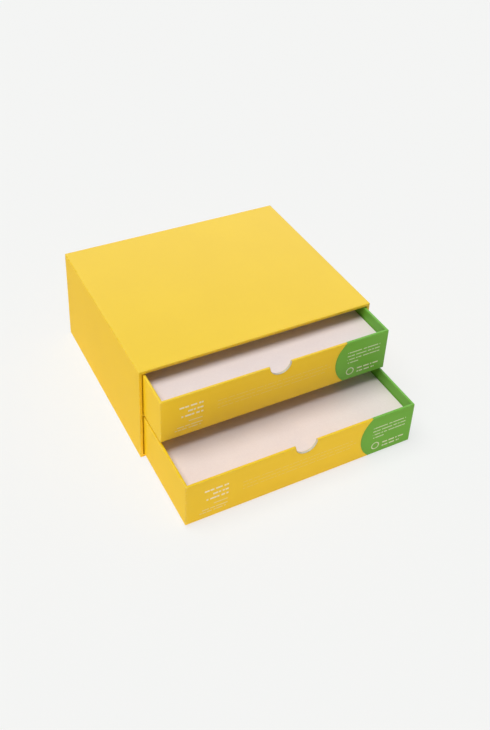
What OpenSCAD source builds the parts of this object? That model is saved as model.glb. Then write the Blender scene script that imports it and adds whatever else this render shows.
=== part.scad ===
// Pencil drawer box: a paper-covered greyboard casing with a shelf, and two open trays
// that slide out of its front. The origin is the centre of the casing's underside,
// the front faces -Y and all sizes are in millimetres.

/* [Casing] */
// Outside width of the casing, left to right
casing_w = 240; // [200:1:300]
// Outside depth of the casing, front to back
casing_d = 200; // [160:1:260]
// Outside height of the casing
casing_h = 102; // [80:1:160]
// Thickness of the casing's greyboard
casing_board_t = 2.5; // [1.5:0.1:4]
// Thickness of the shelf's greyboard
shelf_board_t = 2; // [1.5:0.1:4]

/* [Drawers] */
// Thickness of the drawers' greyboard
drawer_board_t = 2; // [1.2:0.1:3]
// Running clearance at each side of a drawer
side_gap = 0.8; // [0.4:0.1:2]
// Clearance over a drawer's rim
rim_gap = 1; // [0.5:0.1:3]
// Clearance under a drawer
slide_gap = 0.3; // [0.2:0.1:0.6]
// Clearance behind a shut drawer
back_gap = 1; // [0.5:0.1:4]
// Radius of the thumb notch, whose centre lies on the rim
notch_r = 11; // [7:0.5:16]
// Thickness of the folded white card that makes a drawer's raised floor
liner_t = 0.6; // [0.3:0.1:1.5]
// How far the raised floor lies below the rim
liner_drop = 11.5; // [8:0.5:30]
// Clearance around the raised floor
liner_gap = 0.7; // [0.2:0.1:2]

/* [Covering] */
// Thickness of the covering paper
paper_t = 0.2; // [0.15:0.01:0.3]
// Thickness of the stay tape that holds the boards' corners
stay_t = 0.15; // [0.1:0.01:0.2]
// Width of the stay tape on each side of a corner
stay_leg = 12; // [6:1:16]
// Width of paper turned onto the next face and pasted down
turn_in = 15; // [8:1:20]
// How far the end paper's round edge reaches from a drawer's right end
end_reach = 57; // [45:1:80]
// Radius of the end paper's round edge
end_r = 25; // [24:1:40]

/* [Pose] */
// How far the upper drawer stands out of the casing
upper_open = 38; // [0:1:150]
// How far the lower drawer stands out of the casing
lower_open = 90; // [0:1:150]

/* [Hidden] */
$fn = 48;

// Colours of the finishes
yellow = [0.97, 0.80, 0.25];
green = [0.44, 0.64, 0.30];
greyboard = [0.66, 0.63, 0.58];
tape_white = [0.88, 0.86, 0.80];
lining_white = [0.90, 0.89, 0.84];
card_white = [0.93, 0.92, 0.88];

// What lies over a board, and the outside radius of a fold in the paper
skin = paper_t + stay_t;
fold_r = 2 * paper_t;
// Outside radius of a fold in the white card
card_r = 2 * liner_t;
// Strips of stay tape end this far short of each other
tape_gap = 0.5;
// A cut runs this far past what it cuts
over = 1;

// Casing: paper, stay tape, board and lining paper, from outside to inside
casing_wall = skin + casing_board_t + paper_t;
bay_w = casing_w - 2 * casing_wall;
inner_h = casing_h - 2 * casing_wall;
bay_d = casing_d - casing_wall;
front_y = -casing_d / 2;
back_y = casing_d / 2;
board_front_y = front_y + paper_t;
board_back_y = back_y - skin;
bay_back_y = front_y + bay_d;
// Shelf: board with paper over and under it, halfway up
shelf_t = shelf_board_t + 2 * paper_t;
shelf_z = casing_h / 2;
bay_h = (inner_h - shelf_t) / 2;

// Drawers: the trays stand on the bay floors
drawer_w = bay_w - 2 * side_gap;
drawer_d = bay_d - back_gap;
drawer_h = bay_h - rim_gap - slide_gap;
drawer_wall = skin + drawer_board_t + paper_t;
tray_w = drawer_w - 2 * drawer_wall;
tray_d = drawer_d - 2 * drawer_wall;
tray_floor_z = paper_t + drawer_board_t;
lower_floor_z = casing_wall + slide_gap;
upper_floor_z = shelf_z + shelf_t / 2 + slide_gap;
// End paper: centre of its round edge, and its straight edge inside the front,
// which lies just past the point where the round edge meets the rim
end_centre_x = drawer_w / 2 - end_reach + end_r;
end_rim_x = end_centre_x - sqrt(max(0, end_r ^ 2 - (drawer_h / 2) ^ 2));
end_inner_x = end_rim_x - 0.5;

// ---- Shared shapes ----

// A block given by its lowest corner and its highest corner
module block(low, high) {
    translate(low) cube(high - low);
}

// A rectangle about the origin with round corners
module round_rect(w, h, r) {
    square([w - 2 * r, h], center = true);
    square([w, h - 2 * r], center = true);
    for (x = [-1, 1], y = [-1, 1])
        translate([x * (w / 2 - r), y * (h / 2 - r)]) circle(r);
}

// A block with every edge rounded, standing on z = 0: what three round-cornered prisms share
module soft_block(w, d, h, r) {
    translate([0, 0, h / 2]) intersection() {
        linear_extrude(h, center = true) round_rect(w, d, r);
        rotate([90, 0, 0]) linear_extrude(d, center = true) round_rect(w, h, r);
        rotate([90, 0, 90]) linear_extrude(w, center = true) round_rect(d, h, r);
    }
}

// A strip folded lengthwise into an angle, with its inner corner on the Z axis
// and its legs along +X and +Y
module angle_strip(leg, t, length) {
    linear_extrude(length) difference() {
        translate([-t, -t]) square(leg + t);
        square(leg + over);
    }
}

// ---- Casing ----

// All that the casing's covering paper encloses, with a front opening as deep as the turn-in
module casing_form() {
    difference() {
        block([-casing_w / 2 + paper_t, board_front_y, paper_t],
              [casing_w / 2 - paper_t, back_y - paper_t, casing_h - paper_t]);
        block([-bay_w / 2 - paper_t, front_y, casing_wall - paper_t],
              [bay_w / 2 + paper_t, front_y + turn_in, casing_h - casing_wall + paper_t]);
    }
}

// The whole covering of the casing, before it is parted into its three sheets
module casing_covering() {
    difference() {
        soft_block(casing_w, casing_d, casing_h, fold_r);
        casing_form();
        block([-bay_w / 2, front_y - over, casing_wall],
              [bay_w / 2, front_y + turn_in + over, casing_h - casing_wall]);
    }
}

// The space of the sheet under the casing, which also turns up round the front edge
module base_paper_space() {
    block([-casing_w / 2 + turn_in, front_y - over, -over],
          [casing_w / 2 - turn_in, back_y + over, paper_t]);
    block([-bay_w / 2, front_y - over, paper_t],
          [bay_w / 2, front_y + turn_in, casing_wall]);
}

// The space of the sheet on the casing's back
module back_paper_space() {
    block([-casing_w / 2 + turn_in, back_y - paper_t, paper_t],
          [casing_w / 2 - turn_in, back_y + over, casing_h - turn_in]);
}

module casing_top_board() {
    color(greyboard)
        block([-casing_w / 2 + skin, board_front_y, casing_h - skin - casing_board_t],
              [casing_w / 2 - skin, board_back_y, casing_h - skin]);
}

module casing_bottom_board() {
    color(greyboard)
        block([-casing_w / 2 + skin, board_front_y, skin],
              [casing_w / 2 - skin, board_back_y, skin + casing_board_t]);
}

// A side board stands between the top and the bottom board
module casing_side_board() {
    block([-casing_w / 2 + skin, board_front_y, skin + casing_board_t],
          [-casing_w / 2 + skin + casing_board_t, board_back_y, casing_h - skin - casing_board_t]);
}

module casing_left_board() {
    color(greyboard) casing_side_board();
}

module casing_right_board() {
    color(greyboard) mirror([1, 0, 0]) casing_side_board();
}

// The back board fits inside the other four
module casing_back_board() {
    edge = skin + casing_board_t;
    color(greyboard)
        block([-casing_w / 2 + edge, board_back_y - casing_board_t, edge],
              [casing_w / 2 - edge, board_back_y, casing_h - edge]);
}

// Tape along the four long corners, and round the four edges of the back
module casing_corner_stays() {
    board_w = casing_w - 2 * skin;
    board_h = casing_h - 2 * skin;
    long_l = board_back_y - stay_leg - tape_gap - board_front_y;
    upright_z = skin + stay_leg + tape_gap;
    color(tape_white) {
        for (x = [0, 1], z = [0, 1])
            mirror([x, 0, 0]) translate([0, 0, casing_h / 2]) mirror([0, 0, z])
                translate([-board_w / 2, board_front_y + long_l, -board_h / 2])
                    rotate([90, 0, 0]) angle_strip(stay_leg, stay_t, long_l);
        for (z = [0, 1])
            translate([0, 0, casing_h / 2]) mirror([0, 0, z])
                translate([-board_w / 2, board_back_y, -board_h / 2])
                    rotate([90, 0, 90]) mirror([1, 0, 0])
                        angle_strip(stay_leg, stay_t, board_w);
        for (x = [0, 1])
            mirror([x, 0, 0])
                translate([-board_w / 2, board_back_y, upright_z]) mirror([0, 1, 0])
                    angle_strip(stay_leg, stay_t, casing_h - 2 * upright_z);
    }
}

// One sheet over the top and both sides, turned in at the front, the back and underneath
module casing_wrap() {
    color(yellow) difference() {
        casing_covering();
        base_paper_space();
        back_paper_space();
    }
}

module casing_base_paper() {
    color(yellow) intersection() {
        casing_covering();
        base_paper_space();
    }
}

module casing_back_paper() {
    color(yellow) intersection() {
        casing_covering();
        back_paper_space();
    }
}

// Paper on the four walls inside, from the turn-in to the back board
module casing_lining() {
    color(lining_white) difference() {
        block([-bay_w / 2 - paper_t, front_y + turn_in, casing_wall - paper_t],
              [bay_w / 2 + paper_t, bay_back_y + paper_t, casing_h - casing_wall + paper_t]);
        block([-bay_w / 2, front_y, casing_wall],
              [bay_w / 2, back_y, casing_h - casing_wall]);
    }
}

module casing_back_lining() {
    color(lining_white)
        block([-bay_w / 2, bay_back_y, casing_wall],
              [bay_w / 2, bay_back_y + paper_t, casing_h - casing_wall]);
}

// ---- Shelf ----

module shelf_board() {
    color(greyboard)
        block([-bay_w / 2, board_front_y, shelf_z - shelf_board_t / 2],
              [bay_w / 2, bay_back_y, shelf_z + shelf_board_t / 2]);
}

// One sheet over the shelf, round its front edge and back underneath
module shelf_wrap() {
    color(yellow)
        translate([-bay_w / 2, 0, shelf_z]) rotate([90, 0, 90]) linear_extrude(bay_w)
            difference() {
                intersection() {
                    round_rect(casing_d, shelf_t, fold_r);
                    translate([front_y, -shelf_t / 2]) square([bay_d, shelf_t]);
                }
                translate([board_front_y, -shelf_board_t / 2])
                    square([casing_d, shelf_board_t]);
            }
}

// Tape in the angle between the shelf's underside and each side wall
module shelf_stays() {
    strip_l = bay_d - turn_in;
    color(tape_white)
        for (x = [0, 1])
            mirror([x, 0, 0])
                translate([-bay_w / 2 + stay_t, bay_back_y, shelf_z - shelf_t / 2 - stay_t])
                    rotate([90, 0, 0]) mirror([0, 1, 0]) angle_strip(stay_leg, stay_t, strip_l);
}

// ---- Drawer: its own frame has the front face on y = 0 and the underside on z = 0 ----

module upper_place() {
    translate([0, front_y - upper_open, upper_floor_z]) children();
}

module lower_place() {
    translate([0, front_y - lower_open, lower_floor_z]) children();
}

// The thumb notch, cut through the front wall
module notch_cut() {
    translate([0, drawer_wall + over, drawer_h])
        rotate([90, 0, 0]) cylinder(h = drawer_wall + 2 * over, r = notch_r);
}

// A wall's section, with its inner top corner (at +X) rounded. It runs past the wall's
// outside and underside, which the soft block trims.
module wall_section() {
    difference() {
        translate([-over, -over]) square([drawer_wall + over, drawer_h + over]);
        translate([drawer_wall - fold_r, drawer_h - fold_r]) difference() {
            square(fold_r + over);
            circle(fold_r);
        }
    }
}

// The covered tray as one form, with round outer edges and round rims
module drawer_form() {
    half_w = drawer_w / 2;
    half_d = drawer_d / 2;
    translate([0, half_d, 0]) intersection() {
        soft_block(drawer_w, drawer_d, drawer_h, fold_r);
        union() {
            for (x = [0, 1])
                mirror([x, 0, 0]) translate([-half_w, half_d + over, 0])
                    rotate([90, 0, 0]) linear_extrude(drawer_d + 2 * over) wall_section();
            for (y = [0, 1])
                mirror([0, y, 0]) translate([-half_w - over, -half_d, 0])
                    rotate([90, 0, 90]) linear_extrude(drawer_w + 2 * over) wall_section();
            block([-half_w - over, -half_d - over, -over],
                  [half_w + over, half_d + over, tray_floor_z]);
        }
    }
}

// The boards of the tray with their stay tape, as one form
module drawer_board_form() {
    difference() {
        block([-drawer_w / 2 + paper_t, paper_t, paper_t],
              [drawer_w / 2 - paper_t, drawer_d - paper_t, drawer_h - paper_t]);
        block([-tray_w / 2 - paper_t, drawer_wall - paper_t, tray_floor_z],
              [tray_w / 2 + paper_t, drawer_d - drawer_wall + paper_t, drawer_h]);
    }
}

// The whole covering of a drawer, before it is parted into its three sheets
module drawer_covering() {
    difference() {
        drawer_form();
        drawer_board_form();
        notch_cut();
    }
}

// The space of the sheet under a drawer, inside the turned-in edges
module drawer_base_space() {
    block([-drawer_w / 2 + turn_in, turn_in, -over],
          [drawer_w / 2 - turn_in, drawer_d - turn_in, paper_t]);
}

// The space of the end paper: the right wall, a round-edged lap on the front
// and a straight lap on the back
module end_space() {
    right_x = drawer_w / 2 + over;
    top_z = drawer_h + over;
    // Outside of the front, up to the middle of its rim
    translate([0, drawer_wall / 2, 0]) rotate([90, 0, 0])
        linear_extrude(drawer_wall / 2 + over) {
            translate([end_centre_x, drawer_h / 2]) circle(end_r);
            translate([end_centre_x, -over]) square([right_x - end_centre_x, top_z + over]);
        }
    // Inside of the front
    block([end_inner_x, drawer_wall / 2, -over], [right_x, drawer_wall + over, top_z]);
    // Right wall
    block([tray_w / 2 - over, drawer_wall / 2, -over], [right_x, drawer_d + over, top_z]);
    // Back
    block([drawer_w / 2 - turn_in, drawer_d - drawer_wall, -over],
          [right_x, drawer_d + over, top_z]);
}

module drawer_base_board() {
    color(greyboard)
        block([-tray_w / 2 - paper_t, drawer_wall - paper_t, paper_t],
              [tray_w / 2 + paper_t, drawer_d - drawer_wall + paper_t, tray_floor_z]);
}

// A front or back board is as wide as the tray, and the side boards stand between them
module drawer_long_board() {
    block([-drawer_w / 2 + skin, skin, paper_t],
          [drawer_w / 2 - skin, skin + drawer_board_t, drawer_h - paper_t]);
}

module drawer_front_board() {
    color(greyboard) difference() {
        drawer_long_board();
        notch_cut();
    }
}

module drawer_back_board() {
    color(greyboard) translate([0, drawer_d, 0]) mirror([0, 1, 0]) drawer_long_board();
}

module drawer_left_board() {
    edge = skin + drawer_board_t;
    color(greyboard)
        block([-drawer_w / 2 + skin, edge, paper_t],
              [-drawer_w / 2 + edge, drawer_d - edge, drawer_h - paper_t]);
}

module drawer_right_board() {
    mirror([1, 0, 0]) drawer_left_board();
}

// Tape folded round the four upright corners
module drawer_corner_stays() {
    color(tape_white) translate([0, drawer_d / 2, paper_t])
        for (x = [0, 1], y = [0, 1])
            mirror([x, 0, 0]) mirror([0, y, 0])
                translate([-drawer_w / 2 + skin, -drawer_d / 2 + skin, 0])
                    angle_strip(stay_leg, stay_t, drawer_h - 2 * paper_t);
}

// One sheet over the front, left wall and back, across the rims and down the inside
module drawer_wrap() {
    color(yellow) difference() {
        drawer_covering();
        drawer_base_space();
        end_space();
    }
}

module drawer_end_paper() {
    color(green) intersection() {
        difference() {
            drawer_covering();
            drawer_base_space();
        }
        end_space();
    }
}

module drawer_base_paper() {
    color(yellow) intersection() {
        drawer_covering();
        drawer_base_space();
    }
}

// A block about the origin with its top and bottom edges rounded
module pillow_block(w, d, h, r) {
    intersection() {
        rotate([90, 0, 0]) linear_extrude(d + 2 * over, center = true) round_rect(w, h, r);
        rotate([90, 0, 90]) linear_extrude(w + 2 * over, center = true) round_rect(d, h, r);
    }
}

// The raised floor: one card folded down on all four sides, with its corners cut out,
// that stands on the base board
module drawer_liner() {
    w = tray_w - 2 * liner_gap;
    d = tray_d - 2 * liner_gap;
    h = drawer_h - liner_drop - tray_floor_z;
    color(card_white) translate([0, drawer_d / 2, tray_floor_z]) difference() {
        pillow_block(w, d, 2 * h, card_r);
        pillow_block(w - 2 * liner_t, d - 2 * liner_t, 2 * (h - liner_t), card_r - liner_t);
        block([-w / 2 - over, -d / 2 - over, -h - over], [w / 2 + over, d / 2 + over, 0]);
        for (x = [0, 1], y = [0, 1])
            mirror([x, 0, 0]) mirror([0, y, 0])
                block([w / 2 - card_r, d / 2 - card_r, -h], [w / 2 + over, d / 2 + over, h + over]);
    }
}

casing_top_board();
casing_bottom_board();
casing_left_board();
casing_right_board();
casing_back_board();
casing_corner_stays();
casing_wrap();
casing_base_paper();
casing_back_paper();
casing_lining();
casing_back_lining();
shelf_board();
shelf_wrap();
shelf_stays();
upper_place() drawer_base_board();  // upper_drawer_base_board
upper_place() drawer_front_board();  // upper_drawer_front_board
upper_place() drawer_back_board();  // upper_drawer_back_board
upper_place() drawer_left_board();  // upper_drawer_left_board
upper_place() drawer_right_board();  // upper_drawer_right_board
upper_place() drawer_corner_stays();  // upper_drawer_corner_stays
upper_place() drawer_wrap();  // upper_drawer_wrap
upper_place() drawer_end_paper();  // upper_drawer_end_paper
upper_place() drawer_base_paper();  // upper_drawer_base_paper
upper_place() drawer_liner();  // upper_drawer_liner
lower_place() drawer_base_board();  // lower_drawer_base_board
lower_place() drawer_front_board();  // lower_drawer_front_board
lower_place() drawer_back_board();  // lower_drawer_back_board
lower_place() drawer_left_board();  // lower_drawer_left_board
lower_place() drawer_right_board();  // lower_drawer_right_board
lower_place() drawer_corner_stays();  // lower_drawer_corner_stays
lower_place() drawer_wrap();  // lower_drawer_wrap
lower_place() drawer_end_paper();  // lower_drawer_end_paper
lower_place() drawer_base_paper();  // lower_drawer_base_paper
lower_place() drawer_liner();  // lower_drawer_liner
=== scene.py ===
"""Looks of the pencil drawer box: a paper-covered board casing with two pull-out trays.

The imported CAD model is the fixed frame. Every new piece is a sheet worked out with numpy in
the same frame, in metres: X to the right, Y to the back, Z up, with the origin at the centre
of the casing's underside. Boards, stay tape and linings stay the CAD's own and get a finish.
"""

from __future__ import annotations

import logging
import math
from dataclasses import dataclass
from enum import Enum, IntEnum

import bpy
import numpy as np
from mathutils import Matrix

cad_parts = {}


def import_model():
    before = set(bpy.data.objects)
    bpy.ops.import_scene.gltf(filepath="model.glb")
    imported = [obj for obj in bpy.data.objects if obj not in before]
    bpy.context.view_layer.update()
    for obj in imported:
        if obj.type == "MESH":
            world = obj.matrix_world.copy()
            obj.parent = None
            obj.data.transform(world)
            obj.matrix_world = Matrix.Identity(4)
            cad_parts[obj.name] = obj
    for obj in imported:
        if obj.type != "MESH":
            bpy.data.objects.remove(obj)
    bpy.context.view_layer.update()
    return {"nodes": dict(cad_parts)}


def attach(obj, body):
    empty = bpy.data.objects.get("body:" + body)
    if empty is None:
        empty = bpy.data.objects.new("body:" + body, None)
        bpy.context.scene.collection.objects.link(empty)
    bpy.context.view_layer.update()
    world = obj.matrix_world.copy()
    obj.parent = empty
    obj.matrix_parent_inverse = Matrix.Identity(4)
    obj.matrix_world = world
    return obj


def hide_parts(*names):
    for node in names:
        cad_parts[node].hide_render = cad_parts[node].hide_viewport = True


LOG = logging.getLogger("drawer_box")
MM = 0.001
PAPER = 0.2 * MM  # thickness of the covering paper
FOLD = 0.65 * MM  # radius of its fold round a board's outer edge
RIM_FOLD = 0.6 * MM  # radius of its fold from a rim to the inside
WORN_REACH = 1.5 * MM  # how far from a fold the paper looks rubbed
SHARP_ANGLE = math.radians(38)  # faces that turn by more meet in a sharp edge
SLACK = 1e-9  # room for rounding where equal lengths are compared
LEAST = 1e-15  # keeps a division by a length of nothing harmless
SENSOR = 36.0  # width of the camera's sensor, in millimetres

Colour = Point = tuple[float, float, float]
Array = np.ndarray
Material = bpy.types.Material


class Body(Enum):
    """The three bodies that the joints move."""

    CASING = "casing"
    UPPER = "upper_drawer"
    LOWER = "lower_drawer"


class Tone(Enum):
    """Printed colours of the covering paper, as linear red, green and blue."""

    YELLOW = (0.93, 0.612, 0.006)
    GREEN = (0.158, 0.462, 0.036)


# ---- Shader maths ----


class Signal:
    """A socket that takes part in sums: each operator adds the Math node it stands for."""

    def __init__(self, graph: Graph, socket: bpy.types.NodeSocket) -> None:
        """Keep the graph and the output socket."""
        self.graph = graph
        self.socket = socket

    def _math(self, operation: str, *terms: Signal | float) -> Signal:
        """Add one Math node by Blender's name for the sum, and give its output."""
        return self.graph.node("ShaderNodeMath", {"operation": operation}, dict(enumerate(terms)))

    def __add__(self, other: Signal | float) -> Signal:
        """Sum."""
        return self._math("ADD", self, other)

    def __sub__(self, other: Signal | float) -> Signal:
        """Difference."""
        return self._math("SUBTRACT", self, other)

    def __rsub__(self, other: float) -> Signal:
        """Difference, self taken off."""
        return self._math("SUBTRACT", other, self)

    def __mul__(self, other: Signal | float) -> Signal:
        """Product."""
        return self._math("MULTIPLY", self, other)

    def high(self, other: Signal | float) -> Signal:
        """The larger of two values."""
        return self._math("MAXIMUM", self, other)

    def size(self) -> Signal:
        """The value without its sign."""
        return self._math("ABSOLUTE", self)

    def root(self) -> Signal:
        """The square root."""
        return self._math("SQRT", self)

    def step(self, start: float, end: float) -> Signal:
        """A smooth step from 0 at start to 1 at end, which may be the lower of the two."""
        falling = start > end
        low, high = min(start, end), max(start, end)
        return self.graph.node(
            "ShaderNodeMapRange",
            {"interpolation_type": "SMOOTHSTEP"},
            {
                "Value": self,
                "From Min": low,
                "From Max": high,
                "To Min": float(falling),
                "To Max": float(not falling),
            },
        )


class Graph:
    """The node tree of one material or world."""

    def __init__(self, owner: Material | bpy.types.World) -> None:
        """Empty the owner's node tree."""
        owner.use_nodes = True
        self.tree = owner.node_tree
        self.tree.nodes.clear()

    def node(
        self,
        kind: str,
        settings: dict | None = None,
        inputs: dict | None = None,
        output: str | int = 0,
    ) -> Signal:
        """Add a node.

        Args:
            kind: The node's type.
            settings: Its properties, which are set first.
            inputs: Values or signals, by socket name or number.
            output: The socket to hand on, by name or number.

        Returns:
            The chosen output.
        """
        made = self.tree.nodes.new(kind)
        for key, value in (settings or {}).items():
            setattr(made, key, value)
        for key, value in (inputs or {}).items():
            socket = made.inputs[key]
            if isinstance(value, Signal):
                self.tree.links.new(value.socket, socket)
            else:
                socket.default_value = value
        return Signal(self, made.outputs[output]) if made.outputs else Signal(self, None)

    def place(self) -> Signal:
        """Object coordinates, in metres in the CAD frame."""
        return self.node("ShaderNodeTexCoord", output="Object")

    def axes(self, place: Signal) -> tuple[Signal, Signal, Signal]:
        """The X, Y and Z of a place."""
        first = self.node("ShaderNodeSeparateXYZ", inputs={"Vector": place})
        return tuple(Signal(self, socket) for socket in first.socket.node.outputs)

    def noise(
        self, place: Signal, size: float, detail: float = 2.0, rough: float = 0.5
    ) -> Signal:
        """Soft noise from 0 to 1, with largest features about a size wide, in metres."""
        return self.node(
            "ShaderNodeTexNoise",
            {"noise_dimensions": "3D"},
            {"Vector": place, "Scale": 1.0 / size, "Detail": detail, "Roughness": rough},
            "Fac",
        )

    def breaks(self, along: Signal, size: float) -> Signal:
        """Noise from 0 to 1 that changes with one value alone, about once in a size."""
        return self.node(
            "ShaderNodeTexNoise",
            {"noise_dimensions": "1D"},
            {"W": along, "Scale": 1.0 / size, "Detail": 0.0},
            "Fac",
        )

    def stretched(self, place: Signal, scale: Point) -> Signal:
        """A place scaled along each axis, which draws noise out into fibres."""
        return self.node(
            "ShaderNodeMapping", {"vector_type": "POINT"}, {"Vector": place, "Scale": scale}
        )

    def mix(self, share: Signal, first: Signal | Colour, second: Signal | Colour) -> Signal:
        """Blend two colours by a share from 0 to 1."""
        colours = [
            value if isinstance(value, Signal) else (*value, 1.0) for value in (first, second)
        ]
        return self.node(
            "ShaderNodeMix",
            {"data_type": "RGBA", "clamp_factor": True},
            {0: share, 6: colours[0], 7: colours[1]},
            2,
        )

    def bump(self, height: Signal, strength: float, distance: float, ease: float = 0.0) -> Signal:
        """A bumped normal.

        Args:
            height: A height from 0 to 1.
            strength: How strongly it shows.
            distance: What a height of 1 stands for, in metres.
            ease: The radius over which edges are eased, in metres.

        Returns:
            The normal.
        """
        inputs = {"Strength": strength, "Distance": distance, "Height": height}
        if ease:
            inputs["Normal"] = self.node("ShaderNodeBevel", {"samples": 6}, {"Radius": ease})
        return self.node("ShaderNodeBump", inputs=inputs)

    def coat(self, colour: Signal, roughness: Signal, ior: float, normal: Signal) -> None:
        """Send out a surface of one colour under a matt to satin coat."""
        inputs = {"Base Color": colour, "Roughness": roughness, "IOR": ior, "Normal": normal}
        self.surface(self.node("ShaderNodeBsdfPrincipled", inputs=inputs))

    def surface(self, shader: Signal) -> None:
        """Send a shader to the output."""
        kind = "ShaderNodeOutputMaterial"
        if self.tree.id_data.bl_rna.identifier == "World":
            kind = "ShaderNodeOutputWorld"
        self.node(kind, inputs={"Surface": shader})


# ---- Finishes ----


class MarkKind(Enum):
    """Shapes of a printed mark."""

    BROKEN_RULE = "broken rule"
    RING = "ring"


@dataclass(frozen=True)
class Mark:
    """A plain pale print on a drawer's front, in metres in the drawer's frame.

    A rule has its middle at x and z. A ring's width is its line's diameter, and its height
    is how thick the line is.
    """

    x: float
    z: float
    width: float
    height: float
    strength: float
    kind: MarkKind = MarkKind.BROKEN_RULE
    blur: float = 0.06 * MM
    break_size: float = 2.6 * MM
    break_shift: float = 7.0
    break_level: tuple[float, float] = (0.37, 0.40)

    def mask(self, across: Signal, up: Signal) -> Signal:
        """The mark as a mask from 0 to its strength.

        A rule is where both distances from its middle are under half its size, less the
        breaks along it, which a noise of X alone cuts straight across. The noise is shifted
        from rule to rule. A ring is where the distance from its middle is within half the
        line's height of its radius.

        Args:
            across: X on the front.
            up: Z on the front, counted from the drawer's underside.

        Returns:
            The mask.
        """
        if self.kind is MarkKind.RING:
            far = (across - self.x) * (across - self.x) + (up - self.z) * (up - self.z)
            return self._within(far.root() - self.width / 2, self.height) * self.strength
        side = self._within(across - self.x, self.width)
        line = self._within(up - self.z, self.height)
        noise = across.graph.breaks(across + self.z * self.break_shift, self.break_size)
        return side * line * noise.step(*self.break_level) * self.strength

    def _within(self, distance: Signal, size: float) -> Signal:
        """1 where a distance, of either sign, is under half a size, with a soft edge."""
        return distance.size().step(size / 2 + self.blur, size / 2 - self.blur)


@dataclass(frozen=True)
class CoveringPaper:
    """Smooth printed covering paper with a satin film, pasted over board.

    Deep and pale are the shares of the tone between which the print drifts, and rub is how
    much of the worn colour shows where a fold is rubbed.
    """

    name: str
    tone: Tone
    marks: tuple[Mark, ...] = ()
    underside_z: float = 0.0
    front_y: float = 0.0
    deep: Colour = (0.985, 0.978, 0.94)
    pale: Colour = (1.010, 1.014, 1.06)
    ink: Colour = (0.93, 0.87, 0.76)
    rub: float = 0.32
    least_roughness: float = 0.35
    ior: float = 1.42
    relief: float = 0.09 * MM
    edge_ease: float = 1.2 * MM

    def material(self) -> Material:
        """Build the paper.

        The colour drifts a little over a few centimetres, as printed board does, and turns
        paler and duller along the folds, where the film is stretched and rubbed. The bump
        is the paper's fine tooth over the board's slow unevenness.

        Returns:
            The material.
        """
        made = bpy.data.materials.new(self.name)
        graph = Graph(made)
        place = graph.place()
        base = np.array(self.tone.value)
        deep = tuple(base * self.deep)
        pale = tuple(np.minimum(base * self.pale, 1.0))
        worn = tuple(np.minimum(base * 0.82 + 0.16, 1.0))
        drift = graph.noise(place, 70 * MM, 2.0)
        mottle = graph.noise(place, 6 * MM, 3.0, 0.6)
        colour = graph.mix((drift * 0.75 + mottle * 0.25).step(0.3, 0.7), deep, pale)
        fold = graph.node("ShaderNodeAttribute", {"attribute_name": "fold"}, output="Fac")
        rubbed = fold * graph.noise(place, 3 * MM, 4.0, 0.7).step(0.35, 0.7)
        colour = graph.mix(rubbed * self.rub, colour, worn)
        if self.marks:
            colour = graph.mix(self._printed(graph, place), colour, self.ink)
        tooth = graph.noise(place, 0.5 * MM, 3.0, 0.65)
        uneven = graph.noise(place, 14 * MM, 2.0)
        rough = rubbed * 0.10 + mottle * 0.06 + tooth * 0.04 + self.least_roughness
        height = tooth * 0.12 + uneven * 0.88
        normal = graph.bump(height, 0.5, self.relief, self.edge_ease)
        graph.coat(colour, rough, self.ior, normal)
        return made

    def _printed(self, graph: Graph, place: Signal) -> Signal:
        """All marks together, kept to the outside of the front."""
        across, back, up = graph.axes(place)
        up = up - self.underside_z
        total, *others = (mark.mask(across, up) for mark in self.marks)
        for mask in others:
            total = total.high(mask)
        return total * (back - self.front_y).step(0.6 * MM, 0.3 * MM)


@dataclass(frozen=True)
class Fibre:
    """Unprinted board, card, tape or lining: two close colours in a felt of fibres.

    The grain is the fibres' width, flecks is how dark the specks are, and the relief is the
    depth of the felt.
    """

    name: str
    dark: Colour
    light: Colour
    grain: float
    flecks: float
    roughness: float
    relief: float
    ior: float = 1.46

    def material(self) -> Material:
        """Build the stock.

        Fibres are noise drawn out along X crossed with noise drawn out along Y. Flecks are
        the peaks of another noise.

        Returns:
            The material.
        """
        made = bpy.data.materials.new(self.name)
        graph = Graph(made)
        place = graph.place()
        along = graph.noise(graph.stretched(place, (0.25, 1, 1)), self.grain, 3.0, 0.6)
        cross = graph.noise(graph.stretched(place, (1, 0.25, 1)), self.grain, 3.0, 0.6)
        felt = along * 0.5 + cross * 0.5
        cloud = graph.noise(place, 30 * MM, 2.0)
        colour = graph.mix((felt * 0.7 + cloud * 0.3).step(0.3, 0.7), self.dark, self.light)
        speck = graph.noise(place, self.grain * 1.7, 1.0).step(0.66, 0.74)
        colour = graph.mix(speck * self.flecks, colour, tuple(np.array(self.dark) * 0.5))
        rough = felt * 0.1 + (self.roughness - 0.05)
        graph.coat(colour, rough, self.ior, graph.bump(felt, 0.6, self.relief))
        return made


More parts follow.
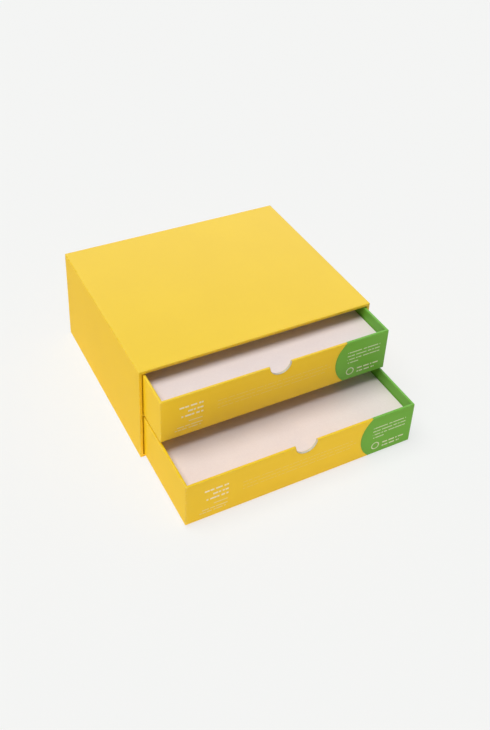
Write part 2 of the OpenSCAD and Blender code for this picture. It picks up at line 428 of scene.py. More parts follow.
@dataclass(frozen=True)
class StudioFloor:
    """The pale table: it reads as the plain background and keeps soft shadows.

    Grey is the lit surface's colour and plain the background's. The shadow share is how much
    of the lit surface shows, in_gloss how bright the table is in a gloss, and bounce how much
    light it gives off.
    """

    grey: float = 0.905
    plain: float = 0.922
    shadow_share: float = 0.22
    in_gloss: float = 0.34
    bounce: float = 0.60
    bounce_colour: Colour = (1.0, 0.80, 0.56)

    def material(self) -> Material:
        """Build the table.

        Seen straight it is part plain light grey and part lit surface, so that shadows stay
        but fade. In a gloss it is plain and dimmer. Every other ray meets a pale surface
        that also gives off a little warm light, which stands in for a reflector in front.

        Returns:
            The material.
        """
        made = bpy.data.materials.new("studio_table")
        graph = Graph(made)
        tint = (self.grey, self.grey, self.grey, 1.0)
        even = (self.plain, self.plain, self.plain, 1.0)
        seen, gloss = view_rays(graph)
        other = 1.0 - seen.high(gloss)
        lit = graph.node("ShaderNodeBsdfDiffuse", inputs={"Color": tint})
        warm = graph.node(
            "ShaderNodeEmission",
            inputs={"Color": (*self.bounce_colour, 1.0), "Strength": other * self.bounce},
        )
        lit = graph.node("ShaderNodeAddShader", inputs={0: lit, 1: warm})
        plain = graph.node(
            "ShaderNodeEmission",
            inputs={"Color": even, "Strength": seen + gloss * self.in_gloss},
        )
        share = (seen * (1.0 - self.shadow_share)).high(gloss)
        graph.surface(graph.node("ShaderNodeMixShader", inputs={0: share, 1: lit, 2: plain}))
        return made


def view_rays(graph: Graph) -> tuple[Signal, Signal]:
    """Masks of the rays that show a surface straight or through glass, and in a gloss."""
    path = graph.node("ShaderNodeLightPath").socket.node.outputs
    camera, gloss, through = (
        Signal(graph, path[name])
        for name in ("Is Camera Ray", "Is Glossy Ray", "Is Transmission Ray")
    )
    return camera.high(through), gloss


# ---- Sheets ----


@dataclass
class Sheet:
    """One sheet of paper or card: its points, its four-sided faces and, for each point, how
    near it is to a fold, from 0 to 1."""

    points: Array
    faces: Array
    fold: Array

    def only(self, keep: Array) -> Sheet:
        """The sheet with only some of its faces, and the points that they use."""
        faces = self.faces[keep]
        used, renumbered = np.unique(faces, return_inverse=True)
        return Sheet(self.points[used], renumbered.reshape(-1, 4), self.fold[used])

    def normals(self) -> Array:
        """A unit normal at each point: the sum of its faces' normals, each the cross product
        of the face's diagonals."""
        corner = self.points[self.faces]
        face = np.cross(corner[:, 2] - corner[:, 0], corner[:, 3] - corner[:, 1])
        face /= np.maximum(np.linalg.norm(face, axis=1, keepdims=True), LEAST)
        total = np.zeros_like(self.points)
        for k in range(4):
            np.add.at(total, self.faces[:, k], face)
        return total / np.maximum(np.linalg.norm(total, axis=1, keepdims=True), LEAST)

    def uneven(self, height: float) -> Sheet:
        """The sheet moved along its normals by a slow swell, three crossed sine waves that
        turn by a radian every 11 to 41 mm."""
        x, y, z = (self.points / MM).T
        swell = (
            np.sin(x / 17.0 + 0.6 * np.sin(y / 23.0) + 0.4)
            + np.sin(y / 19.0 + 0.5 * np.sin(z / 13.0) + 1.3)
            + np.sin(z / 11.0 + x / 41.0 + 2.1)
        )
        moved = self.points + self.normals() * (swell * height / 3.0)[:, None]
        return Sheet(moved, self.faces, self.fold)

    def thick(self, depth: float) -> Sheet:
        """The sheet as a closed shell: the same points again, sunk by depth along the normals,
        with the faces turned round, and a strip of faces round every open edge."""
        count = len(self.points)
        sunk = self.points - self.normals() * depth
        start = self.faces.ravel()
        end = np.roll(self.faces, -1, axis=1).ravel()
        pairs = np.sort(np.stack([start, end], 1), axis=1)
        _, where, times = np.unique(pairs, axis=0, return_inverse=True, return_counts=True)
        open_edge = times[where.ravel()] == 1
        a, b = start[open_edge], end[open_edge]
        strip = np.stack([b, a, a + count, b + count], 1)
        return Sheet(
            np.concatenate([self.points, sunk]),
            np.concatenate([self.faces, self.faces[:, ::-1] + count, strip]),
            np.concatenate([self.fold, self.fold]),
        )


def grid_faces(columns: int, rows: int, closed: bool) -> Array:
    """Faces of a grid whose points are numbered column by column.

    Args:
        columns: Points along the path.
        rows: Points along the profile.
        closed: Whether the last column joins the first.

    Returns:
        One face for each cell, ordered by column and then by row.
    """
    last = columns if closed else columns - 1
    column, row = np.meshgrid(np.arange(last), np.arange(rows - 1), indexing="ij")
    beside = (column + 1) % columns
    corners = [
        column * rows + row,
        beside * rows + row,
        beside * rows + row + 1,
        column * rows + row + 1,
    ]
    return np.stack(corners, -1).reshape(-1, 4)


def cells(columns: int, rows: int) -> tuple[Array, Array, Array]:
    """The column, the next column and the row of each face of a grid closed in a loop."""
    column = np.repeat(np.arange(columns), rows - 1)
    return column, (column + 1) % columns, np.tile(np.arange(rows - 1), columns)


def quarter(steps: int) -> Array:
    """Angles from 0 to a right angle, both ends included."""
    return np.linspace(0.0, math.pi / 2, steps + 1)


def spread(start: float, end: float, gap: float) -> Array:
    """Values from start to end, both included, no more than gap apart."""
    return np.linspace(start, end, max(2, math.ceil(abs(end - start) / gap) + 1))


def between_ends(ends: Array, middle: Array) -> Array:
    """Stations along a side: those near its two ends, which mirror each other and are given
    from the end inwards, and the ones between them."""
    return np.concatenate([-ends, middle, ends[::-1]])


def on_corner(a: Array, b: Array, half_a: float, half_b: float) -> Array:
    """1 on the fold of a rectangle's corner, falling to 0 beside it."""
    near_a = np.clip(1 - (half_a - FOLD - np.abs(a)) / WORN_REACH, 0, 1)
    near_b = np.clip(1 - (half_b - FOLD - np.abs(b)) / WORN_REACH, 0, 1)
    return near_a * near_b


class Side(IntEnum):
    """Sides of a ring and two of its corners, each of which counts as its side plus four."""

    LOWER = 0
    RIGHT = 1
    UPPER = 2
    LEFT = 3
    AFTER_LOWER = 4
    AFTER_RIGHT = 5


@dataclass(frozen=True)
class Ring:
    """Columns of a closed loop round a rectangle, anticlockwise from the lower side.

    Each side's stations stay at their own place along it, however far a row is inset, except
    near the ends, where they close up with the corner. A corner's radius shrinks with the
    inset down to a least radius. The reach is the deepest inset.
    """

    half_a: float
    half_b: float
    least_radius: float
    stations_a: Array
    stations_b: Array
    radius: float = FOLD
    reach: float = 15 * MM
    margin: float = 2 * MM
    arc: int = 5

    def columns(self) -> tuple[Array, Array]:
        """Each column's side, 0 to 3 or 4 to 7 for the corner after it, and its station, or
        for a corner its angle past the start of the turn."""
        sides, values = [], []
        for side in range(4):
            stations = self.stations_a if side % 2 == 0 else self.stations_b
            stations = stations if side < 2 else stations[::-1]
            turn = quarter(self.arc)
            sides += [np.full(len(stations), side), np.full(len(turn), side + 4)]
            values += [stations, turn]
        return np.concatenate(sides), np.concatenate(values)

    def _limit(self, half: float, inset: Array) -> tuple[Array, Array]:
        """Where a side's straight part ends at an inset, and the corner's radius there."""
        radius = np.maximum(self.radius - inset, self.least_radius)
        return half - inset - radius, radius

    def _along(self, half: float, station: Array, inset: Array) -> Array:
        """Place stations on a side: beyond the core they close up in proportion."""
        limit, _ = self._limit(half, inset)
        outer = half - self.radius
        core = outer - self.reach - self.margin
        size = np.abs(station)[:, None]
        closed_up = core + (size - core) * ((limit - core) / (outer - core))[None, :]
        return np.sign(station)[:, None] * np.where(size > core, closed_up, size)

    def place(self, inset: Array) -> tuple[Array, Array]:
        """The loop's two coordinates.

        Args:
            inset: How far each row lies inside the outline.

        Returns:
            Two arrays, columns by rows.
        """
        side, value = self.columns()
        limit_a, radius = self._limit(self.half_a, inset)
        limit_b, _ = self._limit(self.half_b, inset)
        a = np.zeros((len(side), len(inset)))
        b = np.zeros_like(a)
        for k, (sign_a, sign_b) in enumerate(((1, -1), (1, 1), (-1, 1), (-1, -1))):
            straight = side == k
            if k % 2 == 0:
                a[straight] = self._along(self.half_a, value[straight], inset)
                b[straight] = (self.half_b - inset) * sign_b
            else:
                b[straight] = self._along(self.half_b, value[straight], inset)
                a[straight] = (self.half_a - inset) * sign_a
            turn = side == k + 4
            angle = value[turn][:, None] + (k - 1) * math.pi / 2
            a[turn] = sign_a * limit_a + radius * np.cos(angle)
            b[turn] = sign_b * limit_b + radius * np.sin(angle)
        return a, b


@dataclass
class Profile:
    """Rows of a wall's covering: the inset, the height along the wall and a name for each
    stretch, so that faces can be picked by it."""

    inset: Array
    height: Array
    part: Array

    @classmethod
    def join(cls, *stretches: tuple[str, Array, Array]) -> Profile:
        """Put stretches end to end, leaving out each first row that repeats the last one."""
        inset, height, part = [], [], []
        for name, offsets, levels in stretches:
            offsets, levels = np.broadcast_arrays(offsets, levels)
            first = 1 if inset else 0
            inset.append(offsets[first:])
            height.append(levels[first:])
            part += [name] * (len(offsets) - first)
        return cls(np.concatenate(inset), np.concatenate(height), np.array(part))

    def nearness(self) -> Array:
        """For each row, 1 on a fold, falling to 0 beside it."""
        round_rows = np.char.endswith(self.part, "fold")
        step = np.hypot(np.diff(self.inset), np.diff(self.height))
        run = np.concatenate([[0.0], np.cumsum(step)])
        gap = np.abs(run[:, None] - run[round_rows][None, :]).min(1)
        return np.clip(1.0 - gap / WORN_REACH, 0.0, 1.0)


# ---- Pieces ----


def make_piece(
    name: str,
    sheet: Sheet,
    body: Body,
    finish: Material,
    stands_for: str,
) -> None:
    """Turn a sheet into a piece at the origin that rides on a body.

    Args:
        name: The piece's name.
        sheet: Its closed shell.
        body: The body it moves with.
        finish: Its material.
        stands_for: The CAD node that it replaces.
    """
    mesh = bpy.data.meshes.new(name)
    mesh.from_pydata(sheet.points.tolist(), [], sheet.faces.tolist())
    mesh.attributes.new("fold", "FLOAT", "POINT").data.foreach_set(
        "value", sheet.fold.astype(np.float32)
    )
    mesh.polygons.foreach_set("use_smooth", np.ones(len(mesh.polygons), dtype=bool))
    mesh.set_sharp_from_angle(angle=SHARP_ANGLE)
    mesh.materials.append(finish)
    mesh.validate()
    mesh.update()
    piece = bpy.data.objects.new(name, mesh)
    bpy.context.scene.collection.objects.link(piece)
    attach(piece, body.value)
    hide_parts(stands_for)
    LOG.info("%s: %d faces", name, len(mesh.polygons))


def panel(
    across: tuple[float, float], along: tuple[float, float], level: float, axis: str, gap: float
) -> Sheet:
    """A flat sheet facing -Z or +Y.

    Args:
        across: Its two ends along X.
        along: Its two ends along Y, or along Z when it faces +Y.
        level: Its Z, or its Y when it faces +Y.
        axis: "down" or "back", the way it faces.
        gap: The grid's spacing.

    Returns:
        The sheet, without thickness.
    """
    x, v = np.meshgrid(spread(*across, gap), spread(*along, gap), indexing="ij")
    flat = np.full_like(x, level)
    points = np.stack([x, v, flat] if axis == "down" else [x, flat, v], -1).reshape(-1, 3)
    faces = grid_faces(*x.shape, closed=False)[:, ::-1]
    return Sheet(points, faces, np.zeros(len(points)))


@dataclass(frozen=True)
class Casing:
    """The casing's three covering sheets and the sheet round the shelf."""

    width: float = 240 * MM
    depth: float = 200 * MM
    height: float = 102 * MM
    wall: float = 3.05 * MM
    turn_in: float = 15 * MM
    shelf_middle: float = 51 * MM
    shelf_thickness: float = 2.4 * MM
    spacing: float = 5 * MM
    swell: float = 0.05 * MM

    def profile(self) -> Profile:
        """From the flap on the back, round the back fold, along the wall to the front, round
        the rim and into the bay. The height is Y, and rows stand closer near the folds."""
        front, back = -self.depth / 2, self.depth / 2
        turn = quarter(5)
        sin, cos = np.sin(turn), np.cos(turn)
        near = np.array([0, 1.2, 3]) * MM
        walk = spread(back - 5 * MM, front + 5 * MM, self.spacing)
        side = np.concatenate([back - FOLD - near, walk, front + FOLD + near[::-1]])
        flap = np.append(np.array([14.85, 10, 6, 3, 1.4]) * MM, FOLD)
        inner = self.wall - RIM_FOLD
        into = front + RIM_FOLD + np.array([0, 1.2, 3, 6, 9, 12]) * MM
        return Profile.join(
            ("flap", flap, np.array(back)),
            ("back_fold", FOLD - FOLD * sin, back - FOLD + FOLD * cos),
            ("side", np.array(0.0), side),
            ("front_fold", FOLD - FOLD * cos, front + FOLD - FOLD * sin),
            ("rim", spread(FOLD, inner, 0.7 * MM), np.array(front)),
            ("rim_fold", inner + RIM_FOLD * sin, front + RIM_FOLD - RIM_FOLD * cos),
            ("turned_in", np.array(self.wall), np.append(into, front + self.turn_in)),
        )

    def covering(self) -> tuple[Sheet, Sheet]:
        """The sheet over the top and sides, and the one underneath.

        Both are the wall profile carried round the casing's outline, seen from the front.
        The lower side between the turned-in edges is the sheet underneath, without a flap
        on the back.

        Returns:
            The two sheets.
        """
        profile = self.profile()
        half_w, half_h = self.width / 2, self.height / 2
        split = half_w - self.turn_in
        ends = half_w - np.array([1.5, 3, 8]) * MM
        middle = spread(-split, split, self.spacing)
        high = half_h - np.array([1.5, 3, 6]) * MM
        walk = spread(-half_h + 10 * MM, half_h - 10 * MM, self.spacing)
        ring = Ring(
            half_w, half_h, 0.3 * MM, between_ends(ends, middle), between_ends(high, walk)
        )
        a, b = ring.place(profile.inset)
        y = np.broadcast_to(profile.height, a.shape)
        points = np.stack([a, y, b + half_h], -1).reshape(-1, 3)
        rows = len(profile.inset)
        side, value = ring.columns()
        fold = np.maximum(profile.nearness(), on_corner(a, b, half_w, half_h)).ravel()
        whole = Sheet(points, grid_faces(len(side), rows, closed=True), fold)
        column, ahead, row = cells(len(side), rows)
        low = (side[column] == Side.LOWER) & (side[ahead] == Side.LOWER)
        low &= np.abs(value[column] + value[ahead]) / 2 < split
        on_flap = row < np.flatnonzero(profile.part == "flap")[-1]
        over, under = whole.only(~low), whole.only(low & ~on_flap)
        return over.uneven(self.swell), under.uneven(self.swell)

    def back_sheet(self) -> Sheet:
        """The sheet on the back, which meets the turned-in edges."""
        edge = self.width / 2 - self.turn_in
        foot, top = 0.75 * MM, self.height - self.turn_in
        return panel((-edge, edge), (foot, top), self.depth / 2, "back", self.spacing)

    def shelf_cover(self) -> Sheet:
        """The sheet round the shelf: along the top to the front, round the front edge and
        back underneath, carried straight from wall to wall."""
        front = -self.depth / 2
        back = self.depth / 2 - self.wall
        half = self.shelf_thickness / 2
        turn = quarter(4)
        walk = spread(back, front + FOLD + 2 * MM, 8 * MM)
        y = np.append(walk, front + FOLD - FOLD * np.sin(turn))
        z = np.append(np.full(len(walk), half), half - FOLD + FOLD * np.cos(turn))
        near = np.append(np.zeros(len(walk)), np.ones(len(turn)))
        y, z, near = np.append(y, y[::-1]), np.append(z, -z[::-1]), np.append(near, near[::-1])
        half_bay = self.width / 2 - self.wall
        x = spread(-half_bay, half_bay, 10 * MM)
        grid_x, grid_y = np.meshgrid(x, y, indexing="ij")
        grid_z = np.broadcast_to(z + self.shelf_middle, grid_x.shape)
        points = np.stack([grid_x, grid_y, grid_z], -1).reshape(-1, 3)
        faces = grid_faces(len(x), len(y), closed=False)[:, ::-1]
        return Sheet(points, faces, np.tile(near, len(x)))

    def build(self, paper: Material) -> None:
        """Make the casing's sheets."""
        over, under = self.covering()
        for name, sheet, node in (
            ("casing_cover", over, "casing_wrap"),
            ("casing_underside_sheet", under, "casing_base_paper"),
            ("casing_back_sheet", self.back_sheet(), "casing_back_paper"),
            ("shelf_cover", self.shelf_cover(), "shelf_wrap"),
        ):
            make_piece(name, sheet.thick(PAPER), Body.CASING, paper, node)


@dataclass(frozen=True)
class Drawer:
    """One tray: its yellow cover, green end cover, underside sheet and raised white floor.

    Its own frame starts at the middle of its underside. The lean column is the station whose
    column follows the green cover's edge, and the core is how far from a corner's fold the
    evenly spaced stations end.
    """

    body: Body
    front_y: float
    underside_z: float
    width: float = 232.3 * MM
    depth: float = 195.95 * MM
    height: float = 45.45 * MM
    wall: float = 2.55 * MM
    floor_z: float = 2.2 * MM
    turn_in: float = 15 * MM
    notch_radius: float = 11 * MM
    end_reach: float = 57 * MM
    end_radius: float = 29.3 * MM
    floor_drop: float = 11.5 * MM
    floor_gap: float = 0.4 * MM
    card: float = 0.6 * MM
    card_fold: float = 0.9 * MM
    sag: float = 0.35 * MM
    lean_column: float = 66 * MM
    core_inset: float = 17 * MM
    spacing: float = 5 * MM
    swell: float = 0.04 * MM

    def profile(self) -> Profile:
        """From the flap underneath, round the bottom fold, up the outside, over the rim and
        down the inside. The height is Z in the drawer's frame."""
        turn = quarter(5)
        sin, cos = np.sin(turn), np.cos(turn)
        inner = self.wall - RIM_FOLD
        top, top_in = self.height - FOLD, self.height - RIM_FOLD
        flap = np.append(np.array([15, 11, 7, 3, 1.4]) * MM, FOLD)
        walk = spread(7 * MM, top - 3 * MM, 4 * MM)
        outside = np.concatenate([[FOLD, 1.9 * MM, 3.6 * MM], walk, [top - 1.2 * MM, top]])
        walk = spread(top_in - 7 * MM, self.floor_z, 5 * MM)
        inside = np.append(top_in - np.array([0, 1.2, 3]) * MM, walk)
        return Profile.join(
            ("flap", flap, np.array(0.0)),
            ("bottom_fold", FOLD - FOLD * sin, FOLD - FOLD * cos),
            ("outside", np.array(0.0), outside),
            ("top_fold", FOLD - FOLD * cos, top + FOLD * sin),
            ("rim", spread(FOLD, inner, 0.7 * MM), np.array(self.height)),
            ("rim_fold", inner + RIM_FOLD * sin, top_in + RIM_FOLD * cos),
            ("inside", np.array(self.wall), inside),
        )

    def boundary(self, profile: Profile) -> Array:
        """X of the green cover's round edge at each row: the left half of a circle centred
        at half the height, x = centre - sqrt(r^2 - (z - h/2)^2)."""
        centre = self.width / 2 - self.end_reach + self.end_radius
        level = np.where(profile.part == "inside", self.height, profile.height)
        return centre - np.sqrt(self.end_radius**2 - (level - self.height / 2) ** 2)

    def covering(self) -> tuple[Sheet, Sheet]:
        """The yellow cover and the green end cover.

        The wall profile is carried round the tray's outline. On the front, columns across
        the thumb notch stand at equal angles of its circle, and the rows under it are
        pressed down to stay below z = rim - sqrt(r^2 - x^2). The columns to its right lean
        so that one of them follows the green cover's round edge.

        Returns:
            The two sheets.
        """
        profile = self.profile()
        radius = self.notch_radius
        half_w, half_d = self.width / 2, self.depth / 2
        near = np.array([1.5, 3, 6, 10]) * MM
        core = half_w - FOLD - self.core_inset
        front = [
            spread(-core, -radius, self.spacing)[:-1],
            -radius * np.cos(np.linspace(0, math.pi, 33)),
            spread(radius, self.lean_column, self.spacing)[1:],
            spread(self.lean_column, core, self.spacing)[1:],
        ]
        stations_a = between_ends(half_w - near, np.concatenate(front))
        walk = spread(-half_d + self.core_inset, half_d - self.core_inset, self.spacing)
        stations_b = between_ends(half_d - near, walk)
        ring = Ring(half_w, half_d, 0.25 * MM, stations_a, stations_b)
        side, value = ring.columns()
        x, y = ring.place(profile.inset)
        station = np.where(side == Side.LOWER, value, np.nan)
        x = self._lean(x, station[:, None], self.boundary(profile), core)
        in_notch = np.abs(station) <= radius + SLACK
        z = self._press_down(profile, value, in_notch)
        fold = np.maximum(profile.nearness(), on_corner(x, y, half_w, half_d)).ravel()
        rows = len(profile.inset)
        faces = grid_faces(len(side), rows, closed=True)
        whole = Sheet(self._placed(x, y, z), faces, fold)
        column, ahead, row = cells(len(side), rows)
        first_rim = np.flatnonzero(profile.part == "outside")[-1]
        last_rim = np.flatnonzero(profile.part == "rim_fold")[-1]
        cut = in_notch[column] & in_notch[ahead] & (row >= first_rim) & (row < last_rim)
        here, there = side[column], side[ahead]
        middle = (value[column] + value[ahead]) / 2
        on_front = (there == Side.AFTER_LOWER) | (middle > self.lean_column)
        lap = middle > half_w - self.turn_in - 3 * MM
        green = np.isin(here, (Side.AFTER_LOWER, Side.RIGHT, Side.AFTER_RIGHT))
        green |= ((here == Side.LOWER) & on_front) | ((here == Side.UPPER) & lap)
        yellow, end = whole.only(~cut & ~green), whole.only(~cut & green)
        return yellow.uneven(self.swell), end.uneven(self.swell)

    def _placed(self, x: Array, y: Array, z: Array) -> Array:
        """Points from the drawer's own frame, put where it rests."""
        moved = [x, y + self.depth / 2 + self.front_y, z + self.underside_z]
        return np.stack(moved, -1).reshape(-1, 3)

    def _lean(self, x: Array, station: Array, edge: Array, core: float) -> Array:
        """Lean the front's columns between the notch and the core, so that the lean column
        follows the green cover's edge and the ones beside it close up."""
        start, lean = self.notch_radius, self.lean_column
        before = (station - start) / (lean - start)
        after = (station - lean) / (core - lean)
        x = np.where((station > start) & (station <= lean), start + before * (edge - start), x)
        return np.where((station > lean) & (station < core), edge + after * (core - edge), x)

    def _press_down(self, profile: Profile, value: Array, in_notch: Array) -> Array:
        """Each point's height. In the notch's columns the outside and the inside are scaled
        so that both end on its circle."""
        z = np.tile(profile.height, (len(value), 1))
        drop = np.sqrt(np.maximum(self.notch_radius**2 - value[in_notch] ** 2, 0.0))
        outside, inside = profile.part == "outside", profile.part == "inside"
        inside[np.flatnonzero(inside)[0] - 1] = True
        for rows, foot, head in (
            (outside, FOLD, self.height - FOLD),
            (inside, self.floor_z, self.height - RIM_FOLD),
        ):
            block = np.ix_(in_notch, rows)
            share = (z[block] - foot) / (head - foot)
            z[block] = foot + share * (np.minimum(self.height - drop, head) - foot)[:, None]
        return z

    def underside_sheet(self) -> Sheet:
        """The sheet under the tray, inside the turned-in edges."""
        edge = self.width / 2 - self.turn_in - 0.1 * MM
        start = self.front_y + self.turn_in + 0.1 * MM
        end = self.front_y + self.depth - self.turn_in - 0.1 * MM
        return panel((-edge, edge), (start, end), self.underside_z, "down", 8 * MM)

    def raised_floor(self) -> Sheet:
        """The raised floor: a card folded down on four sides.

        Each direction has its own fold: flat, then a quarter turn, then straight down. A
        point's place is the two folds' reaches, and its height is what both have dropped,
        less a slight sag in the middle. The corners, where both would fold, are cut out.

        Returns:
            The sheet, without thickness.
        """
        top = self.height - self.floor_drop
        across, drop_x = self._folded(self.width / 2 - self.wall - self.floor_gap, top)
        along, drop_y = self._folded(self.depth / 2 - self.wall - self.floor_gap, top)
        x, y = np.meshgrid(across, along, indexing="ij")
        down = drop_x[:, None] + drop_y[None, :]
        bow = (1 - (x / across.max()) ** 2) * (1 - (y / along.max()) ** 2)
        z = top - down - self.sag * np.clip(bow, 0, 1)
        faces = grid_faces(*x.shape, closed=False)
        flat_x, flat_y = across.max() - self.card_fold, along.max() - self.card_fold
        inner_x = np.abs(x).ravel()[faces].max(1) <= flat_x + SLACK
        inner_y = np.abs(y).ravel()[faces].max(1) <= flat_y + SLACK
        near = (np.abs(x) > flat_x - SLACK) | (np.abs(y) > flat_y - SLACK)
        sheet = Sheet(self._placed(x, y, z), faces, near.ravel().astype(float))
        return sheet.only(inner_x | inner_y)

    def _folded(self, half: float, top: float) -> tuple[Array, Array]:
        """Reach and drop of points across a card that is folded down at both ends."""
        radius = self.card_fold
        turn = quarter(5)[1:]
        flat = spread(0, half - radius, self.spacing)
        legs = spread(radius, top - self.floor_z, 6 * MM)[1:]
        bend = half - radius + radius * np.sin(turn)
        reach = np.concatenate([flat, bend, np.full(len(legs), half)])
        drop = np.concatenate([np.zeros(len(flat)), radius - radius * np.cos(turn), legs])
        return np.append(-reach[:0:-1], reach), np.append(drop[:0:-1], drop)

    def build(self, yellow: Material, green: Material, card: Material) -> None:
        """Make the tray's sheets."""
        name = self.body.value
        cover, end = self.covering()
        cover, end = cover.thick(PAPER), end.thick(PAPER)
        under, floor = self.underside_sheet().thick(PAPER), self.raised_floor().thick(self.card)
        for piece, sheet, slot, finish, node in (
            ("cover", cover, "yellow_paper", yellow, "wrap"),
            ("end_cover", end, "green_paper", green, "end_paper"),
            ("underside_sheet", under, "yellow_paper", yellow, "base_paper"),
            ("raised_floor", floor, "white_card", card, "liner"),
        ):
            make_piece(f"{name}_{piece}", sheet, self.body, finish, f"{name}_{node}")


# ---- Printed marks ----


def front_marks() -> tuple[Mark, ...]:
    """Broken rules near the left end of a drawer's front, and faint ones along it. Each row
    is a rule's left and right end, its height on the front, its thickness and its strength."""
    rows = [
        (-99.3, -76.0, 32.2, 1.7, 0.85),
        (-90.5, -76.0, 26.8, 1.7, 0.85),
        (-96.7, -76.0, 21.8, 1.7, 0.85),
        (-90.0, -76.6, 15.0, 0.9, 0.45),
        (-101.0, -76.5, 10.2, 0.9, 0.45),
        (-104.3, -78.0, 7.2, 0.9, 0.45),
        (-62.0, 50.0, 27.0, 0.8, 0.13),
        (-62.0, 54.0, 23.0, 0.8, 0.13),
        (-62.0, 48.0, 19.0, 0.8, 0.13),
    ]
    return tuple(rule(*row) for row in rows)


def end_marks() -> tuple[Mark, ...]:
    """Broken rules and a ring on the green end of a drawer's front."""
    rows = [
        (72.0, 108.0, 32.5, 1.1, 0.6),
        (72.0, 108.0, 28.4, 1.1, 0.6),
        (72.0, 108.0, 24.3, 1.1, 0.6),
        (73.0, 84.6, 20.3, 1.1, 0.6),
        (84.5, 109.0, 10.6, 1.4, 0.75),
        (84.5, 104.0, 6.4, 1.4, 0.75),
    ]
    ring = Mark(76.6 * MM, 9.6 * MM, 7.6 * MM, 1.0 * MM, 0.7, MarkKind.RING)
    return (*(rule(*row) for row in rows), ring)


def rule(start: float, end: float, up: float, height: float, strength: float) -> Mark:
    """A broken rule from its two ends, all in millimetres."""
    return Mark((start + end) / 2 * MM, up * MM, (end - start) * MM, height * MM, strength)


# ---- Studio ----


def hang(
    data: bpy.types.Camera | bpy.types.Light, axes: list[Array], place: Point
) -> bpy.types.Object:
    """Put a camera or lamp at a place, its own X, Y and Z along three axes."""
    matrix = Matrix.Translation(place)
    for k, axis in enumerate(axes):
        matrix.col[k][:3] = axis
    hung = bpy.data.objects.new(data.name, data)
    hung.matrix_world = matrix
    bpy.context.scene.collection.objects.link(hung)
    return hung


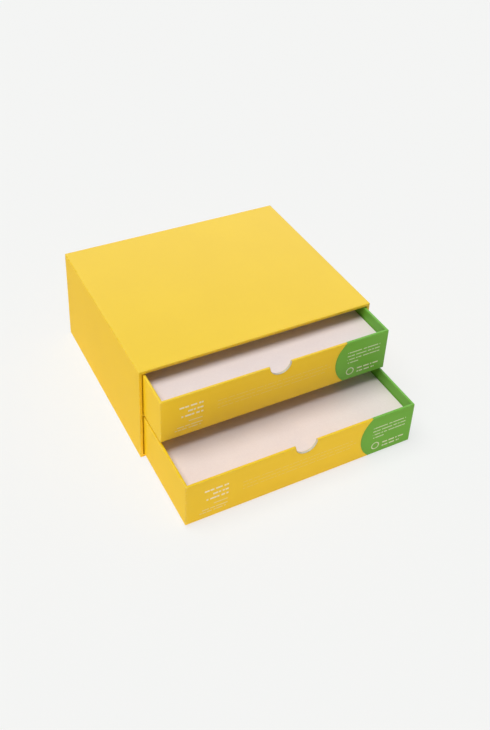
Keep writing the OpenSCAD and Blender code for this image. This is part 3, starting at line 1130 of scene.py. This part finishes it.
@dataclass(frozen=True)
class Studio:
    """Camera, table and lamps. The centre is the height in the picture, in pixels from its
    bottom edge, of the point straight ahead of the lens."""

    azimuth: float = math.radians(29.162)
    elevation: float = math.radians(31.993)
    roll: float = math.radians(2.889)
    place: Point = (-0.334777, -0.658565, 0.632707)
    focal_pixels: float = 912.415
    centre_y: float = 220.0
    frame: tuple[int, int] = (490, 730)
    sky: float = 0.22
    sky_in_gloss: float = 0.42
    key: float = 2.45
    key_spread: float = math.radians(40)
    key_colour: Colour = (0.965, 1.0, 0.94)
    key_from: Point = (-0.30, 0.05, 0.95)
    softbox_from: Point = (0.82, 1.48, 1.06)
    softbox_size: tuple[float, float] = (2.2, 1.5)
    softbox_light: float = 1.7

    def camera(self) -> None:
        """The camera: it looks along azimuth and down by elevation, then turns about its own
        line of sight by roll. The lens is the focal length in pixels over the frame's height."""
        sin_a, cos_a = math.sin(self.azimuth), math.cos(self.azimuth)
        sin_e, cos_e = math.sin(self.elevation), math.cos(self.elevation)
        ahead = np.array([sin_a * cos_e, cos_a * cos_e, -sin_e])
        right = np.array([cos_a, -sin_a, 0.0])
        up = np.cross(right, ahead)
        sin_r, cos_r = math.sin(self.roll), math.cos(self.roll)
        turned = [right * cos_r + up * sin_r, up * cos_r - right * sin_r, -ahead]
        lens = bpy.data.cameras.new("studio_camera")
        lens.sensor_fit = "AUTO"
        lens.sensor_width = SENSOR
        lens.lens = self.focal_pixels / self.frame[1] * SENSOR
        lens.shift_y = (self.centre_y - self.frame[1] / 2) / self.frame[1]
        lens.clip_start, lens.clip_end = 0.01, 100.0
        bpy.context.scene.camera = hang(lens, turned, self.place)

    def table(self) -> None:
        """A wide table top just under the box."""
        mesh = bpy.data.meshes.new("table_top")
        size, level = 12.0, -0.05 * MM
        corners = [(-size, -size, level), (size, -size, level), (size, size, level)]
        mesh.from_pydata([*corners, (-size, size, level)], [], [(0, 1, 2, 3)])
        mesh.materials.append(StudioFloor().material())
        table = bpy.data.objects.new("table_top", mesh)
        bpy.context.scene.collection.objects.link(table)

    def lamps(self) -> None:
        """An even sky, a very soft lamp high up on the left, and a softbox at the back right
        that only shows in a gloss."""
        world = bpy.data.worlds.new("studio")
        bpy.context.scene.world = world
        graph = Graph(world)
        seen, gloss = view_rays(graph)
        strength = (
            seen * (StudioFloor().grey - self.sky)
            + gloss * (self.sky_in_gloss - self.sky)
            + self.sky
        )
        inputs = {"Color": (1, 1, 1, 1), "Strength": strength}
        graph.surface(graph.node("ShaderNodeBackground", inputs=inputs))
        sun = bpy.data.lights.new("soft_key", "SUN")
        sun.energy = self.key
        sun.angle = self.key_spread
        sun.color = self.key_colour
        hang(sun, self._facing(self.key_from), self.key_from)
        softbox = bpy.data.lights.new("softbox", "AREA")
        softbox.shape = "RECTANGLE"
        softbox.size, softbox.size_y = self.softbox_size
        softbox.energy = self.softbox_light * math.pi * softbox.size * softbox.size_y
        hung = hang(softbox, self._facing(self.softbox_from), self.softbox_from)
        hung.visible_diffuse = False

    @staticmethod
    def _facing(place: Point) -> list[Array]:
        """Axes of a lamp at a place that faces the origin."""
        back = np.array(place) / np.linalg.norm(place)
        side = np.cross([0.0, 0.0, 1.0], back)
        side /= np.linalg.norm(side)
        return [side, np.cross(back, side), back]

    def build(self) -> None:
        """Set the view transform and make the studio."""
        bpy.context.scene.view_settings.view_transform = "Standard"
        self.camera()
        self.table()
        self.lamps()


def dress_cad_nodes(nodes: dict[str, bpy.types.Object]) -> None:
    """Give the CAD's own boards, tape and linings their finishes. Sheets stand for the rest."""
    board = Fibre(
        "greyboard", (0.53, 0.50, 0.44), (0.69, 0.65, 0.58), 1.2 * MM, 0.4, 0.9, 0.08 * MM
    ).material()
    tape = Fibre(
        "stay_tape", (0.66, 0.62, 0.53), (0.76, 0.72, 0.63), 1.0 * MM, 0.1, 0.7, 0.03 * MM
    ).material()
    lining = Fibre(
        "lining_paper", (0.72, 0.70, 0.62), (0.80, 0.78, 0.71), 1.0 * MM, 0.05, 0.75, 0.02 * MM
    ).material()
    finishes = {"board": board, "stays": tape, "lining": lining}
    for name, node in nodes.items():
        finish = finishes.get(name.rpartition("_")[2])
        if finish:
            node.data.materials.clear()
            node.data.materials.append(finish)


def main() -> None:
    """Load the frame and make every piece."""
    logging.basicConfig(level=logging.INFO, format="%(name)s: %(message)s")
    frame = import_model()
    Studio().build()
    card = Fibre(
        "white_card", (0.82, 0.70, 0.727), (0.87, 0.753, 0.778), 0.9 * MM, 0.0, 0.62, 0.02 * MM
    ).material()
    dress_cad_nodes(frame["nodes"])
    plain_yellow = CoveringPaper("yellow_paper", Tone.YELLOW).material()
    Casing().build(plain_yellow)
    drawers = (
        Drawer(Body.UPPER, -138 * MM, 52.5 * MM),
        Drawer(Body.LOWER, -190 * MM, 3.35 * MM),
    )
    for drawer in drawers:
        at = {"underside_z": drawer.underside_z, "front_y": drawer.front_y}
        name = drawer.body.value
        yellow = CoveringPaper(f"{name}_yellow", Tone.YELLOW, marks=front_marks(), **at)
        green = CoveringPaper(f"{name}_green", Tone.GREEN, marks=end_marks(), **at)
        drawer.build(yellow.material(), green.material(), card)


if __name__ == "__main__":
    main()
